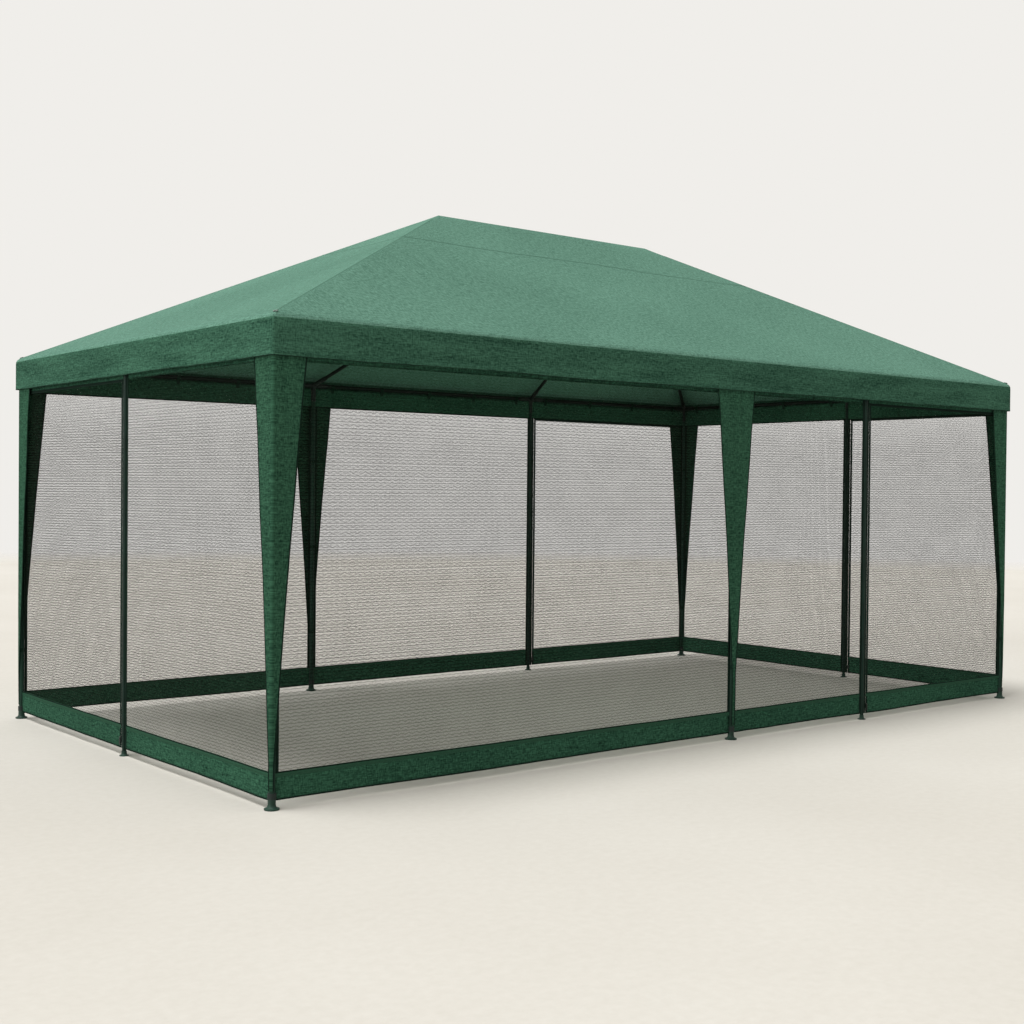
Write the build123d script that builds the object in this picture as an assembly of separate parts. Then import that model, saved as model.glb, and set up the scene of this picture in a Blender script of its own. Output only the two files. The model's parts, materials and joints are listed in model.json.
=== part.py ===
"""Screen house: a push-fit steel frame, a hip-roofed canopy, mesh walls and zipped doors.

Millimetres, +Z up. The origin is on the ground at the centre of the footprint.
X runs along the long sides. Front is -Y, back is +Y, left is -X and right is +X.
Every wall hangs in the plane of its leg axes, and every door opens outwards.
"""
from build123d import *
import os

os.makedirs("parts", exist_ok=True)

# Frame
SPAN_X = 5800.0
SPAN_Y = 3100.0
RAIL_Z = 2155.0
FRONT_LEG_X = 110.0
BACK_LEG_X = -841.0
FRONT_POLE_X = 1333.0
BACK_POLE_X = 1156.0
LEFT_POLE_Y = 30.0
RIGHT_POLE_Y = -198.0

# Canopy
OVERHANG = 35.0
EAVE_Z = 2201.0
RIDGE_Z = 3123.0
RIDGE_HALF = 888.0
VALANCE_BOTTOM_Z = 2018.0
CANOPY_THICKNESS = 0.8
EYELET_FROM_CORNER = 42.0
EYELET_RADIUS = 12.0
EYELET_HOLE_RADIUS = 6.0
EYELET_HEIGHT = 2.5
EYELET_LIFT = 0.2

# Tubes, by outer diameter and wall
LEG_D = 30.0
LEG_WALL = 0.9
RAIL_D = 25.0
RAIL_WALL = 0.7
POLE_D = 22.0
POLE_WALL = 0.8

# Connectors: a ball hub with one socket for each tube
HUB_RADIUS = 22.0
SOCKET_FLOOR = 45.0
SOCKET_END = 110.0
SOCKET_WALL = 2.5
SLIP_FIT = 0.2
TUBE_END_GAP = 1.0
RIDGE_TUBE_Z = RIDGE_Z - 34.0
CLAMP_LENGTH = 36.0
CLAMP_SOCKET_TOP_Z = RAIL_Z - 15.0
CLAMP_SOCKET_BOTTOM_Z = RAIL_Z - 60.0

# Feet
LEG_FOOT_RADIUS = 35.0
LEG_FOOT_RIM = 8.0
LEG_FOOT_NECK_RADIUS = 18.5
LEG_FOOT_FLARE_Z = 27.0
LEG_FOOT_HEIGHT = 48.0
LEG_FOOT_FLOOR = 12.0
COLLAR_RADIUS = 20.0
COLLAR_HEIGHT = 27.0
POLE_FOOT_RADIUS = 25.0
POLE_FOOT_RIM = 5.0
POLE_FOOT_NECK_RADIUS = 14.0
POLE_FOOT_FLARE_Z = 14.0
POLE_FOOT_HEIGHT = 26.0
POLE_FOOT_FLOOR = 6.0

# Walls and doors
CLOTH = 0.6
WALL_BOTTOM_Z = 37.0
WALL_TOP_Z = 2135.0
HEADER_BOTTOM_Z = 2002.0
GAP_AT_LEG = 20.0
GAP_AT_POLE = 16.0
ZIP_TAPE = 18.0
ZIP_GAP = 4.0
DOOR_TOP_GAP = 5.0
FOLD_FROM_LEG = 200.0
FOLD_GAP = 2.0

# Leg covers
COVER_OFFSET = 18.5
COVER_TOP_Z = 2100.0
COVER_BOTTOM_Z = 85.0
CORNER_COVER_TOP = 143.0
SIDE_COVER_TOP = 143.0
COVER_BOTTOM = 18.0

# Zip sliders and pulls, with distances from the door's free edge
SLIDER_Z = 70.0
SLIDER_HEIGHT = 28.0
SLIDER_GRIP = 12.0
SLIDER_SIDE = 1.4
SLIDER_EDGE_GAP = 0.6
SLIDER_FACE_GAP = 0.8
SLIDER_FRONT = 5.0
SLIDER_BACK = 3.0
BAIL_Z = SLIDER_Z + 18.0
BAIL_OUT = 7.2
BAIL_FROM_EDGE = 2.0
BAIL_WIDTH = 8.0
BAIL_POST = 2.0
BAIL_BAR_RADIUS = 1.1
PULL_EYE_RADIUS = 2.2
PULL_EYE_HOLE = 1.4
PULL_SIDE_GAP = 0.3
PULL_NECK = 4.0
PULL_THICKNESS = 1.6
PULL_LENGTH = 34.0

HALF_X = SPAN_X / 2
HALF_Y = SPAN_Y / 2
BOTTOM_UP = (Align.CENTER, Align.CENTER, Align.MIN)

CORNERS = {
    "front_left": Vector(-HALF_X, -HALF_Y, 0),
    "front_right": Vector(HALF_X, -HALF_Y, 0),
    "back_left": Vector(-HALF_X, HALF_Y, 0),
    "back_right": Vector(HALF_X, HALF_Y, 0),
}
SIDE_LEGS = {
    "front_middle": Vector(FRONT_LEG_X, -HALF_Y, 0),
    "back_middle": Vector(BACK_LEG_X, HALF_Y, 0),
}
LEGS = CORNERS | SIDE_LEGS
POLES = {
    "front": Vector(FRONT_POLE_X, -HALF_Y, 0),
    "back": Vector(BACK_POLE_X, HALF_Y, 0),
    "left": Vector(-HALF_X, LEFT_POLE_Y, 0),
    "right": Vector(HALF_X, RIGHT_POLE_Y, 0),
}
UP = Vector(0, 0, 1)
AT_RAIL = UP * RAIL_Z
RIDGE_HUBS = {
    "left": Vector(-RIDGE_HALF, 0, RIDGE_TUBE_Z),
    "middle": Vector(0, 0, RIDGE_TUBE_Z),
    "right": Vector(RIDGE_HALF, 0, RIDGE_TUBE_Z),
}

# Each side: whether it runs along X, where its plane lies, and which way is out.
# Its door hangs between its pole and a corner leg, from a fold beside that leg.
SIDES = {
    "front": {"along_x": True, "plane": -HALF_Y, "out": -1, "pole": FRONT_POLE_X, "corner": HALF_X},
    "back": {"along_x": True, "plane": HALF_Y, "out": 1, "pole": BACK_POLE_X, "corner": HALF_X},
    "left": {"along_x": False, "plane": -HALF_X, "out": -1, "pole": LEFT_POLE_Y, "corner": HALF_Y},
    "right": {"along_x": False, "plane": HALF_X, "out": 1, "pole": RIGHT_POLE_Y, "corner": -HALF_Y},
}


def save(name, *solids):
    """Write one node: a single solid, or a group of separate ones."""
    shape = solids[0] if len(solids) == 1 else Compound(children=list(solids))
    export_step(shape, f"parts/{name}.step")


def rod(start, end, radius):
    """Solid round bar between two points."""
    axis = end - start
    return Plane(origin=start, z_dir=axis) * Cylinder(radius, axis.length, align=BOTTOM_UP)


def tube(start, end, diameter, wall):
    """Hollow round tube, open at both ends, between two points."""
    return rod(start, end, diameter / 2) - rod(start, end, diameter / 2 - wall)


def framed_tube(start_hub, end_hub, diameter, wall):
    """Tube that stops just above the floor of a socket at each of two hubs."""
    inset = (end_hub - start_hub).normalized() * (SOCKET_FLOOR + TUBE_END_GAP)
    return tube(start_hub + inset, end_hub - inset, diameter, wall)


def connector(hub, arms):
    """Moulded hub with a blind socket for each arm, given as (far end, tube diameter)."""
    body = Pos(*hub) * Sphere(HUB_RADIUS)
    directions = [((far - hub).normalized(), diameter) for far, diameter in arms]
    for direction, diameter in directions:
        body += rod(hub, hub + direction * SOCKET_END, diameter / 2 + SLIP_FIT + SOCKET_WALL)
    for direction, diameter in directions:
        floor = hub + direction * SOCKET_FLOOR
        body -= rod(floor, hub + direction * (SOCKET_END + 1), diameter / 2 + SLIP_FIT)
    return body


def foot(place, radius, rim, neck_radius, flare_z, height, floor, bore_radius):
    """Turned foot: a flat disc that flares up into a neck with a blind socket."""
    with BuildPart() as part:
        with BuildSketch(Plane.XZ):
            with BuildLine():
                Line((0, 0), (radius - 1, 0))
                Line((radius - 1, 0), (radius, 1))
                Line((radius, 1), (radius, rim - 2))
                RadiusArc((radius, rim - 2), (radius - 2, rim), -2)
                Spline(
                    (radius - 2, rim),
                    (neck_radius, flare_z),
                    tangents=[(-1, 0.12), (0, 1)],
                )
                Line((neck_radius, flare_z), (neck_radius, height))
                Line((neck_radius, height), (bore_radius, height))
                Line((bore_radius, height), (bore_radius, floor))
                Line((bore_radius, floor), (0, floor))
                Line((0, floor), (0, 0))
            make_face()
        revolve(axis=Axis.Z)
    return Pos(place.X, place.Y, 0) * part.part


def wall_point(side, along, out, z):
    """Point at a distance along a side, a distance outside its plane and a height."""
    across = side["plane"] + side["out"] * out
    return Vector(along, across, z) if side["along_x"] else Vector(across, along, z)


def wall_box(side, along, out, z):
    """Box on a side from three (from, to) pairs."""
    corners = [wall_point(side, along[i], out[i], z[i]) for i in (0, 1)]
    size = corners[1] - corners[0]
    middle = (corners[0] + corners[1]) * 0.5
    return Pos(*middle) * Box(abs(size.X), abs(size.Y), abs(size.Z))


def cloth(side, along, z):
    """Flat rectangle of cloth hanging in a side's plane."""
    return wall_box(side, along, (-CLOTH / 2, CLOTH / 2), z)


def full_panel(side, start, end):
    """One mesh panel from hem to rail."""
    return cloth(side, (start, end), (WALL_BOTTOM_Z, WALL_TOP_Z))


def door_places(side):
    """Direction from pole to corner, and the tape, free edge, fold and wall end of a door bay."""
    into = 1 if side["corner"] > side["pole"] else -1
    tape = side["pole"] + into * GAP_AT_POLE
    edge = tape + into * (ZIP_TAPE + ZIP_GAP)
    fold = side["corner"] - into * FOLD_FROM_LEG
    end = side["corner"] - into * GAP_AT_LEG
    return into, tape, edge, fold, end


def door_surround(side):
    """Header over a door, zip tape beside its pole and the strip it folds from."""
    into, tape, _, fold, end = door_places(side)
    height = (WALL_BOTTOM_Z, HEADER_BOTTOM_Z)
    return [
        cloth(side, (tape, end), (HEADER_BOTTOM_Z, WALL_TOP_Z)),
        cloth(side, (tape, tape + into * ZIP_TAPE), height),
        cloth(side, (fold + into * FOLD_GAP, end), height),
    ]


def door_leaf(side):
    """Mesh door with its green skirt, from zip to fold."""
    _, _, edge, fold, _ = door_places(side)
    return cloth(side, (edge, fold), (WALL_BOTTOM_Z, HEADER_BOTTOM_Z - DOOR_TOP_GAP))


def zip_slider(side):
    """Channel that grips the door's edge, with a bail for its pull."""
    into, _, edge, _, _ = door_places(side)
    z = (SLIDER_Z, SLIDER_Z + SLIDER_HEIGHT)
    outer = edge - into * (SLIDER_EDGE_GAP + SLIDER_SIDE)
    grip = edge + into * SLIDER_GRIP
    body = wall_box(side, (outer, grip), (SLIDER_FACE_GAP, SLIDER_FRONT), z)
    body += wall_box(side, (outer, grip), (-SLIDER_BACK, -SLIDER_FACE_GAP), z)
    body += wall_box(side, (outer, edge - into * SLIDER_EDGE_GAP), (-SLIDER_BACK, SLIDER_FRONT), z)
    post_z = (BAIL_Z - BAIL_POST, BAIL_Z + BAIL_POST)
    post_out = (SLIDER_FRONT, BAIL_OUT + BAIL_POST)
    for from_edge in (BAIL_FROM_EDGE, BAIL_FROM_EDGE + BAIL_WIDTH - BAIL_POST):
        start = edge + into * from_edge
        body += wall_box(side, (start, start + into * BAIL_POST), post_out, post_z)
    bar_start = wall_point(side, edge + into * BAIL_FROM_EDGE, BAIL_OUT, BAIL_Z)
    bar_end = wall_point(side, edge + into * (BAIL_FROM_EDGE + BAIL_WIDTH), BAIL_OUT, BAIL_Z)
    return body + rod(bar_start, bar_end, BAIL_BAR_RADIUS)


def zip_pull(side):
    """Flat tab that hangs from the slider's bail by its eye."""
    into, _, edge, _, _ = door_places(side)
    inset = BAIL_POST + PULL_SIDE_GAP
    start = edge + into * (BAIL_FROM_EDGE + inset)
    end = edge + into * (BAIL_FROM_EDGE + BAIL_WIDTH - inset)
    out = (BAIL_OUT - PULL_THICKNESS / 2, BAIL_OUT + PULL_THICKNESS / 2)
    eye_ends = [wall_point(side, along, BAIL_OUT, BAIL_Z) for along in (start, end)]
    tab = rod(*eye_ends, PULL_EYE_RADIUS)
    tab += wall_box(side, (start, end), out, (BAIL_Z - PULL_NECK, BAIL_Z))
    wide = (edge + into * BAIL_FROM_EDGE, edge + into * (BAIL_FROM_EDGE + BAIL_WIDTH))
    tab += wall_box(side, wide, out, (BAIL_Z - PULL_LENGTH, BAIL_Z - PULL_NECK))
    return tab - rod(*eye_ends, PULL_EYE_HOLE)


def cover_wing(side, leg, top_from, top_to, bottom_from, bottom_to):
    """Tapering strip of cloth outside a leg, with its widths at the top and at the bottom."""
    outline = [
        wall_point(side, leg + bottom_from, COVER_OFFSET, COVER_BOTTOM_Z),
        wall_point(side, leg + bottom_to, COVER_OFFSET, COVER_BOTTOM_Z),
        wall_point(side, leg + top_to, COVER_OFFSET, COVER_TOP_Z),
        wall_point(side, leg + top_from, COVER_OFFSET, COVER_TOP_Z),
    ]
    outward = wall_point(side, 0, 1, 0) - wall_point(side, 0, 0, 0)
    return extrude(make_face(Polyline(*outline, close=True)), amount=CLOTH, dir=outward)


def roof_slope(*outline):
    """Flat roof panel below an outline on the roof's top surface, with upright edges."""
    return extrude(make_face(Polyline(*outline, close=True)), amount=CANOPY_THICKNESS, dir=(0, 0, -1))


def canopy():
    """Four roof slopes that meet at the hips and ridge, and a valance below each."""
    x = HALF_X + OVERHANG
    y = HALF_Y + OVERHANG
    eave = {(i, j): Vector(i * x, j * y, EAVE_Z) for i in (-1, 1) for j in (-1, 1)}
    ridge = {i: Vector(i * RIDGE_HALF, 0, RIDGE_Z) for i in (-1, 1)}
    pieces = [roof_slope(eave[i, -1], eave[i, 1], ridge[i]) for i in (-1, 1)]
    pieces += [roof_slope(eave[-1, j], eave[1, j], ridge[1], ridge[-1]) for j in (-1, 1)]
    height = (VALANCE_BOTTOM_Z, EAVE_Z - CANOPY_THICKNESS)
    hang = (OVERHANG - CANOPY_THICKNESS, OVERHANG)
    end = y - CANOPY_THICKNESS
    pieces += [wall_box(SIDES[name], (-x, x), hang, height) for name in ("front", "back")]
    pieces += [wall_box(SIDES[name], (-end, end), hang, height) for name in ("left", "right")]
    return pieces


def eyelet(i, j):
    """Ring standing on the hip just above one roof corner."""
    corner = Vector(i * (HALF_X + OVERHANG), j * (HALF_Y + OVERHANG), EAVE_Z)
    hip = (Vector(i * RIDGE_HALF, 0, RIDGE_Z) - corner).normalized()
    level = UP.cross(hip)
    normal = hip.cross(level).normalized()
    centre = corner + hip * EYELET_FROM_CORNER + normal * EYELET_LIFT
    top = centre + normal * EYELET_HEIGHT
    return rod(centre, top, EYELET_RADIUS) - rod(centre, top, EYELET_HOLE_RADIUS)


def pole_clamp(pole, along):
    """Ring that grips a rail, with a socket below it for a door pole."""
    hub = pole + AT_RAIL
    half = along * (CLAMP_LENGTH / 2)
    socket = [pole + UP * CLAMP_SOCKET_TOP_Z, pole + UP * CLAMP_SOCKET_BOTTOM_Z]
    body = rod(hub - half, hub + half, RAIL_D / 2 + SLIP_FIT + SOCKET_WALL)
    body += rod(hub, socket[1], POLE_D / 2 + SLIP_FIT + SOCKET_WALL)
    body -= rod(hub - half, hub + half, RAIL_D / 2 + SLIP_FIT)
    return body - rod(*socket, POLE_D / 2 + SLIP_FIT)


# Legs, their feet and the collars above the feet
for name, place in LEGS.items():
    top = place + UP * (RAIL_Z - SOCKET_FLOOR - TUBE_END_GAP)
    save(f"leg_{name}", tube(place + UP * LEG_FOOT_FLOOR, top, LEG_D, LEG_WALL))
leg_feet = []
collars = []
for place in LEGS.values():
    leg_feet.append(
        foot(
            place,
            LEG_FOOT_RADIUS,
            LEG_FOOT_RIM,
            LEG_FOOT_NECK_RADIUS,
            LEG_FOOT_FLARE_Z,
            LEG_FOOT_HEIGHT,
            LEG_FOOT_FLOOR,
            LEG_D / 2 + SLIP_FIT,
        )
    )
    collar_bottom = place + UP * LEG_FOOT_HEIGHT
    collar_top = collar_bottom + UP * COLLAR_HEIGHT
    collar_wall = COLLAR_RADIUS - LEG_D / 2 - SLIP_FIT
    collars.append(tube(collar_bottom, collar_top, 2 * COLLAR_RADIUS, collar_wall))
save("leg_feet", *leg_feet)
save("foot_collars", *collars)

# Door poles and their feet. The back pole stands in a connector, the others in clamps.
for name, place in POLES.items():
    top_z = RAIL_Z - SOCKET_FLOOR if name == "back" else CLAMP_SOCKET_TOP_Z
    top = place + UP * (top_z - TUBE_END_GAP)
    save(f"door_pole_{name}", tube(place + UP * POLE_FOOT_FLOOR, top, POLE_D, POLE_WALL))
pole_feet = []
for place in POLES.values():
    pole_feet.append(
        foot(
            place,
            POLE_FOOT_RADIUS,
            POLE_FOOT_RIM,
            POLE_FOOT_NECK_RADIUS,
            POLE_FOOT_FLARE_Z,
            POLE_FOOT_HEIGHT,
            POLE_FOOT_FLOOR,
            POLE_D / 2 + SLIP_FIT,
        )
    )
save("door_pole_feet", *pole_feet)
save(
    "pole_clamps",
    pole_clamp(POLES["front"], Vector(1, 0, 0)),
    pole_clamp(POLES["left"], Vector(0, 1, 0)),
    pole_clamp(POLES["right"], Vector(0, 1, 0)),
)

# Eave rails, from hub to hub
RAILS = {
    "front_left": ("front_left", "front_middle"),
    "front_right": ("front_middle", "front_right"),
    "back_left": ("back_left", "back_middle"),
    "back_middle": ("back_middle", "back_pole"),
    "back_right": ("back_pole", "back_right"),
    "left": ("front_left", "back_left"),
    "right": ("front_right", "back_right"),
}
hubs = {name: place + AT_RAIL for name, place in LEGS.items()}
hubs["back_pole"] = POLES["back"] + AT_RAIL
for name, (start, end) in RAILS.items():
    save(f"eave_rail_{name}", framed_tube(hubs[start], hubs[end], RAIL_D, RAIL_WALL))

# Rafters up to the ridge, and the ridge itself
RAFTERS = {
    "hip_rafter_front_left": ("front_left", "left"),
    "hip_rafter_back_left": ("back_left", "left"),
    "hip_rafter_front_right": ("front_right", "right"),
    "hip_rafter_back_right": ("back_right", "right"),
    "rafter_front": ("front_middle", "middle"),
    "rafter_back": ("back_middle", "middle"),
    "rafter_back_pole": ("back_pole", "right"),
}
for name, (low, high) in RAFTERS.items():
    save(name, framed_tube(hubs[low], RIDGE_HUBS[high], RAIL_D, RAIL_WALL))
for name in ("left", "right"):
    tube_solid = framed_tube(RIDGE_HUBS["middle"], RIDGE_HUBS[name], RAIL_D, RAIL_WALL)
    save(f"ridge_tube_{name}", tube_solid)


def hub_connector(name):
    """Connector at an eave hub, with an arm for every tube that meets there."""
    hub = hubs[name]
    upright = POLE_D if name == "back_pole" else LEG_D
    arms = [(hub - UP * SOCKET_END, upright)]
    for pair in RAILS.values():
        if name in pair:
            other = pair[0] if pair[1] == name else pair[1]
            arms.append((hubs[other], RAIL_D))
    arms += [(RIDGE_HUBS[high], RAIL_D) for low, high in RAFTERS.values() if low == name]
    return connector(hub, arms)


def ridge_connector(name):
    """Connector on the ridge, with an arm for each rafter and ridge tube that meets there."""
    hub = RIDGE_HUBS[name]
    arms = [(hubs[low], RAIL_D) for low, high in RAFTERS.values() if high == name]
    beside = ("left", "right") if name == "middle" else ("middle",)
    arms += [(RIDGE_HUBS[other], RAIL_D) for other in beside]
    return connector(hub, arms)


save("corner_connectors", *[hub_connector(name) for name in CORNERS])
save("side_connectors", *[hub_connector(name) for name in (*SIDE_LEGS, "back_pole")])
save("ridge_connectors", *[ridge_connector(name) for name in RIDGE_HUBS])

# Canopy and the eyelets at its corners
save("canopy", *canopy())
save("canopy_eyelets", *[eyelet(i, j) for i in (-1, 1) for j in (-1, 1)])

# Leg covers: two wings round a corner leg, one flat taper outside a side leg
LAP = COVER_OFFSET + CLOTH
for name, place in CORNERS.items():
    x_in = -1 if place.X > 0 else 1
    y_in = -1 if place.Y > 0 else 1
    long_side = SIDES["front" if place.Y < 0 else "back"]
    short_side = SIDES["left" if place.X < 0 else "right"]
    wings = [
        cover_wing(long_side, place.X, -x_in * LAP, x_in * CORNER_COVER_TOP, -x_in * LAP, x_in * COVER_BOTTOM),
        cover_wing(
            short_side,
            place.Y,
            -y_in * COVER_OFFSET,
            y_in * CORNER_COVER_TOP,
            -y_in * COVER_OFFSET,
            y_in * COVER_BOTTOM,
        ),
    ]
    save(f"leg_cover_{name}", *wings)
for name, place in SIDE_LEGS.items():
    side = SIDES["front" if place.Y < 0 else "back"]
    cover = cover_wing(side, place.X, -SIDE_COVER_TOP, SIDE_COVER_TOP, -COVER_BOTTOM, COVER_BOTTOM)
    save(f"leg_cover_{name}", cover)

# Walls. The long sides have a plain bay left of their middle leg.
left_end = -HALF_X + GAP_AT_LEG
for name, leg_x, pole_x in (("front", FRONT_LEG_X, FRONT_POLE_X), ("back", BACK_LEG_X, BACK_POLE_X)):
    side = SIDES[name]
    save(f"{name}_wall_left", full_panel(side, left_end, leg_x - GAP_AT_LEG))
    beside_door = full_panel(side, leg_x + GAP_AT_LEG, pole_x - GAP_AT_POLE)
    save(f"{name}_wall_right", beside_door, *door_surround(side))
for name in ("left", "right"):
    side = SIDES[name]
    into = door_places(side)[0]
    far_end = -side["corner"] + into * GAP_AT_LEG
    beside_door = full_panel(side, far_end, side["pole"] - into * GAP_AT_POLE)
    save(f"{name}_wall", beside_door, *door_surround(side))

# Doors, with the slider and pull of each zip
for name, side in SIDES.items():
    save(f"{name}_door", door_leaf(side))
    save(f"{name}_zip_slider", zip_slider(side))
    save(f"{name}_zip_pull", zip_pull(side))
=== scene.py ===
"""Screen house: cloth, netting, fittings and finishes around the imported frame. Metres, +Z up."""
import json
import math

import bmesh
import bpy
from mathutils import Matrix, Vector, noise
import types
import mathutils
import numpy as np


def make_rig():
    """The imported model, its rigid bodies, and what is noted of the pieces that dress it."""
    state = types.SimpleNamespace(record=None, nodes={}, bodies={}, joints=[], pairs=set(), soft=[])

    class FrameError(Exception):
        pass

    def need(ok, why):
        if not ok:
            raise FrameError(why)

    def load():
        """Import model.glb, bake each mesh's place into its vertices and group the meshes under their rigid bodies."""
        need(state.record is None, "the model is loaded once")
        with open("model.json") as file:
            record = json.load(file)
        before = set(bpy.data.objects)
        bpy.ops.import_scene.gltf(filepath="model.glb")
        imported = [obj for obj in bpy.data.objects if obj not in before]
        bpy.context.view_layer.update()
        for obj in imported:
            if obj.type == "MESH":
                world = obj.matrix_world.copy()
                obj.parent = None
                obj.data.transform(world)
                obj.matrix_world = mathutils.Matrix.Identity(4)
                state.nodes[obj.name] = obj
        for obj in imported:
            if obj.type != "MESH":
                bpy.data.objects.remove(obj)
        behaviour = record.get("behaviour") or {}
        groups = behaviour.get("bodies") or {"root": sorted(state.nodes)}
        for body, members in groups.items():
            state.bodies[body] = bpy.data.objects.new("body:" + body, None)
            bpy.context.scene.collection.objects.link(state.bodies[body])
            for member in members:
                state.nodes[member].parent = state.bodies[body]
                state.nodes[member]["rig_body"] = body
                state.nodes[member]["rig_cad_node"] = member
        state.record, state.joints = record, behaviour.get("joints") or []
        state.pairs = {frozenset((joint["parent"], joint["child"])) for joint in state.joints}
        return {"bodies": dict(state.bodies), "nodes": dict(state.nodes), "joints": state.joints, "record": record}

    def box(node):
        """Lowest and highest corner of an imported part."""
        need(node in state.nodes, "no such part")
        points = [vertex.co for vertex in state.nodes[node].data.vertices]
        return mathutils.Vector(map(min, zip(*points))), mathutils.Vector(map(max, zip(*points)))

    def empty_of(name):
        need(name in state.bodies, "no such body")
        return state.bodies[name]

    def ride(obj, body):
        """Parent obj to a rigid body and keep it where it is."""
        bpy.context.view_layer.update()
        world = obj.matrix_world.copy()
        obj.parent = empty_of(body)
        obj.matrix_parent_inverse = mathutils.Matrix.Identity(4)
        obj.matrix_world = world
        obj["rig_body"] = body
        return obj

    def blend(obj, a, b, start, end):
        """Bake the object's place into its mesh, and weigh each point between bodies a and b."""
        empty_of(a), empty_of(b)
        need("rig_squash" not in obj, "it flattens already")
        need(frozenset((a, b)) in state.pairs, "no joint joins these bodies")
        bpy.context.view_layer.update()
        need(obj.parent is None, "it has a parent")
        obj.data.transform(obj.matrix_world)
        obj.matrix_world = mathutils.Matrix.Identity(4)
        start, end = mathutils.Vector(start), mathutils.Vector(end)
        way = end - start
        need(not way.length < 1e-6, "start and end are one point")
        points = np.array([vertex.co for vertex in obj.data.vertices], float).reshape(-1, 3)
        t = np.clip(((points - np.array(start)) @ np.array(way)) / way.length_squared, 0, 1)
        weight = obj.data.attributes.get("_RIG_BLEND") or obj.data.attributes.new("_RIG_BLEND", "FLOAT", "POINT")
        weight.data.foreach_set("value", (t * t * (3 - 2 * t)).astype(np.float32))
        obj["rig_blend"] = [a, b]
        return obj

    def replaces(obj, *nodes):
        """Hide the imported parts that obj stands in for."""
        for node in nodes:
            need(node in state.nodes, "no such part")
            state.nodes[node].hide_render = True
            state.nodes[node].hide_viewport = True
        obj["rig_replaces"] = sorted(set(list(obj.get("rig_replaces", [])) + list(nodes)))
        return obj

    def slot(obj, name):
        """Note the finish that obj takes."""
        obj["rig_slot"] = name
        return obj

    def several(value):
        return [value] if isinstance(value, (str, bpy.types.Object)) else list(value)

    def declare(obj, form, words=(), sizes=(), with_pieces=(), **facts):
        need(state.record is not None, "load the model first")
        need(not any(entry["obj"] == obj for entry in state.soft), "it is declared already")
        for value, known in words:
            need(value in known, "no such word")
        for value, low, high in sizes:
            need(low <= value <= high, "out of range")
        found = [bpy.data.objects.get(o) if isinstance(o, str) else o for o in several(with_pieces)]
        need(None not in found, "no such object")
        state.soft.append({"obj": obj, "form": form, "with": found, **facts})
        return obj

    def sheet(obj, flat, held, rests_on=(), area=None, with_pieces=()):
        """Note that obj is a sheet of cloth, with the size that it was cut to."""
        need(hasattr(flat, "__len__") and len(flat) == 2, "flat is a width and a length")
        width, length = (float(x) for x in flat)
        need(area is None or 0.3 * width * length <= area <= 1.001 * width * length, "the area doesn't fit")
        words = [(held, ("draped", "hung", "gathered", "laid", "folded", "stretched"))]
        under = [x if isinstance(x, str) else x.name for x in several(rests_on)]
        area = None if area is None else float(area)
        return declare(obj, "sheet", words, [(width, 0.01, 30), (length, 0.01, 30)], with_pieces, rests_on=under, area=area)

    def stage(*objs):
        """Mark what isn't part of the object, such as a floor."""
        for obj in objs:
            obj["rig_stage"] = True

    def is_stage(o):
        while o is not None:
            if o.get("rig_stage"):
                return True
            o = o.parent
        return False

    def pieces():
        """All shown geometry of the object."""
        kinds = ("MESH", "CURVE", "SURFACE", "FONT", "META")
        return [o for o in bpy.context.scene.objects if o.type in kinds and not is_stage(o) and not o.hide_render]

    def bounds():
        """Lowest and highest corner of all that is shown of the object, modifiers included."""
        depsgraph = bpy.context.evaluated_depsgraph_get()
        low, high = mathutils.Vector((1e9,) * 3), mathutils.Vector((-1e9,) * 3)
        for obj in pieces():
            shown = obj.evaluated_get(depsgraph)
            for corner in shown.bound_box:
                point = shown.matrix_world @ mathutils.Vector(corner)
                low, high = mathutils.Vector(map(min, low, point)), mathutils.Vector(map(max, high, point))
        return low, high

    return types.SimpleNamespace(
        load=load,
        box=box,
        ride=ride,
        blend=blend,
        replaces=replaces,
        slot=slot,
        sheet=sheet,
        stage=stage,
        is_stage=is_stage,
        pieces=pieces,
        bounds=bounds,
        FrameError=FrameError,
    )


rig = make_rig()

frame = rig.load()
cad_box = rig.bounds()

# Cloth, in metres
CANOPY_CLOTH = 0.0008
BAND_CLOTH = 0.0006
COVER_CLOTH = 0.0007
SKIRT_HEIGHT = 0.130
SKIRT_HEM = 0.025
HEM_THICK = 0.0022
HEM_SWAY = 0.004
PIPING = 0.008
PIPING_THICK = 0.0034
COVER_PIPING_THICK = 0.003
EDGE_TAPE_THICK = 0.0028
HEADER_GAP = 0.005
HEADER_LAP = 0.002
HEADER_INSIDE = 0.0012
DOOR_HEADER_INSIDE = 0.0022
BINDING_INSIDE = 0.0013
BINDING_THICK = 0.0016
LEAF_LAP = 0.007
NET_TUCK = 0.006
POST_GAP = 0.001
VALANCE_EDGE = 0.004
SEAM_WIDTH = 0.014
SEAM_THICK = 0.0030
HIP_SEAM_WIDTH = 0.010
HIP_SEAM_THICK = 0.0024
EAVE_ROUNDING = 0.024
CORNER_ROUNDING = 0.016
ROOF_SAG = 0.008

# Threads and stitches: lengths in metres, and shares of a pitch
THREAD_PITCH = 0.0016
STITCH_PITCH = 0.0042
STITCH_SHARE = 0.72
STITCH_HALF_WIDTH = 0.0007
NET_PITCH = 0.0026
NET_THREAD_SHARE = 0.128
COURSE_PITCH = 0.0155
COURSE_COVER = 0.38
THINNING_START = 1.74
THINNING_END = 1.97

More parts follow.
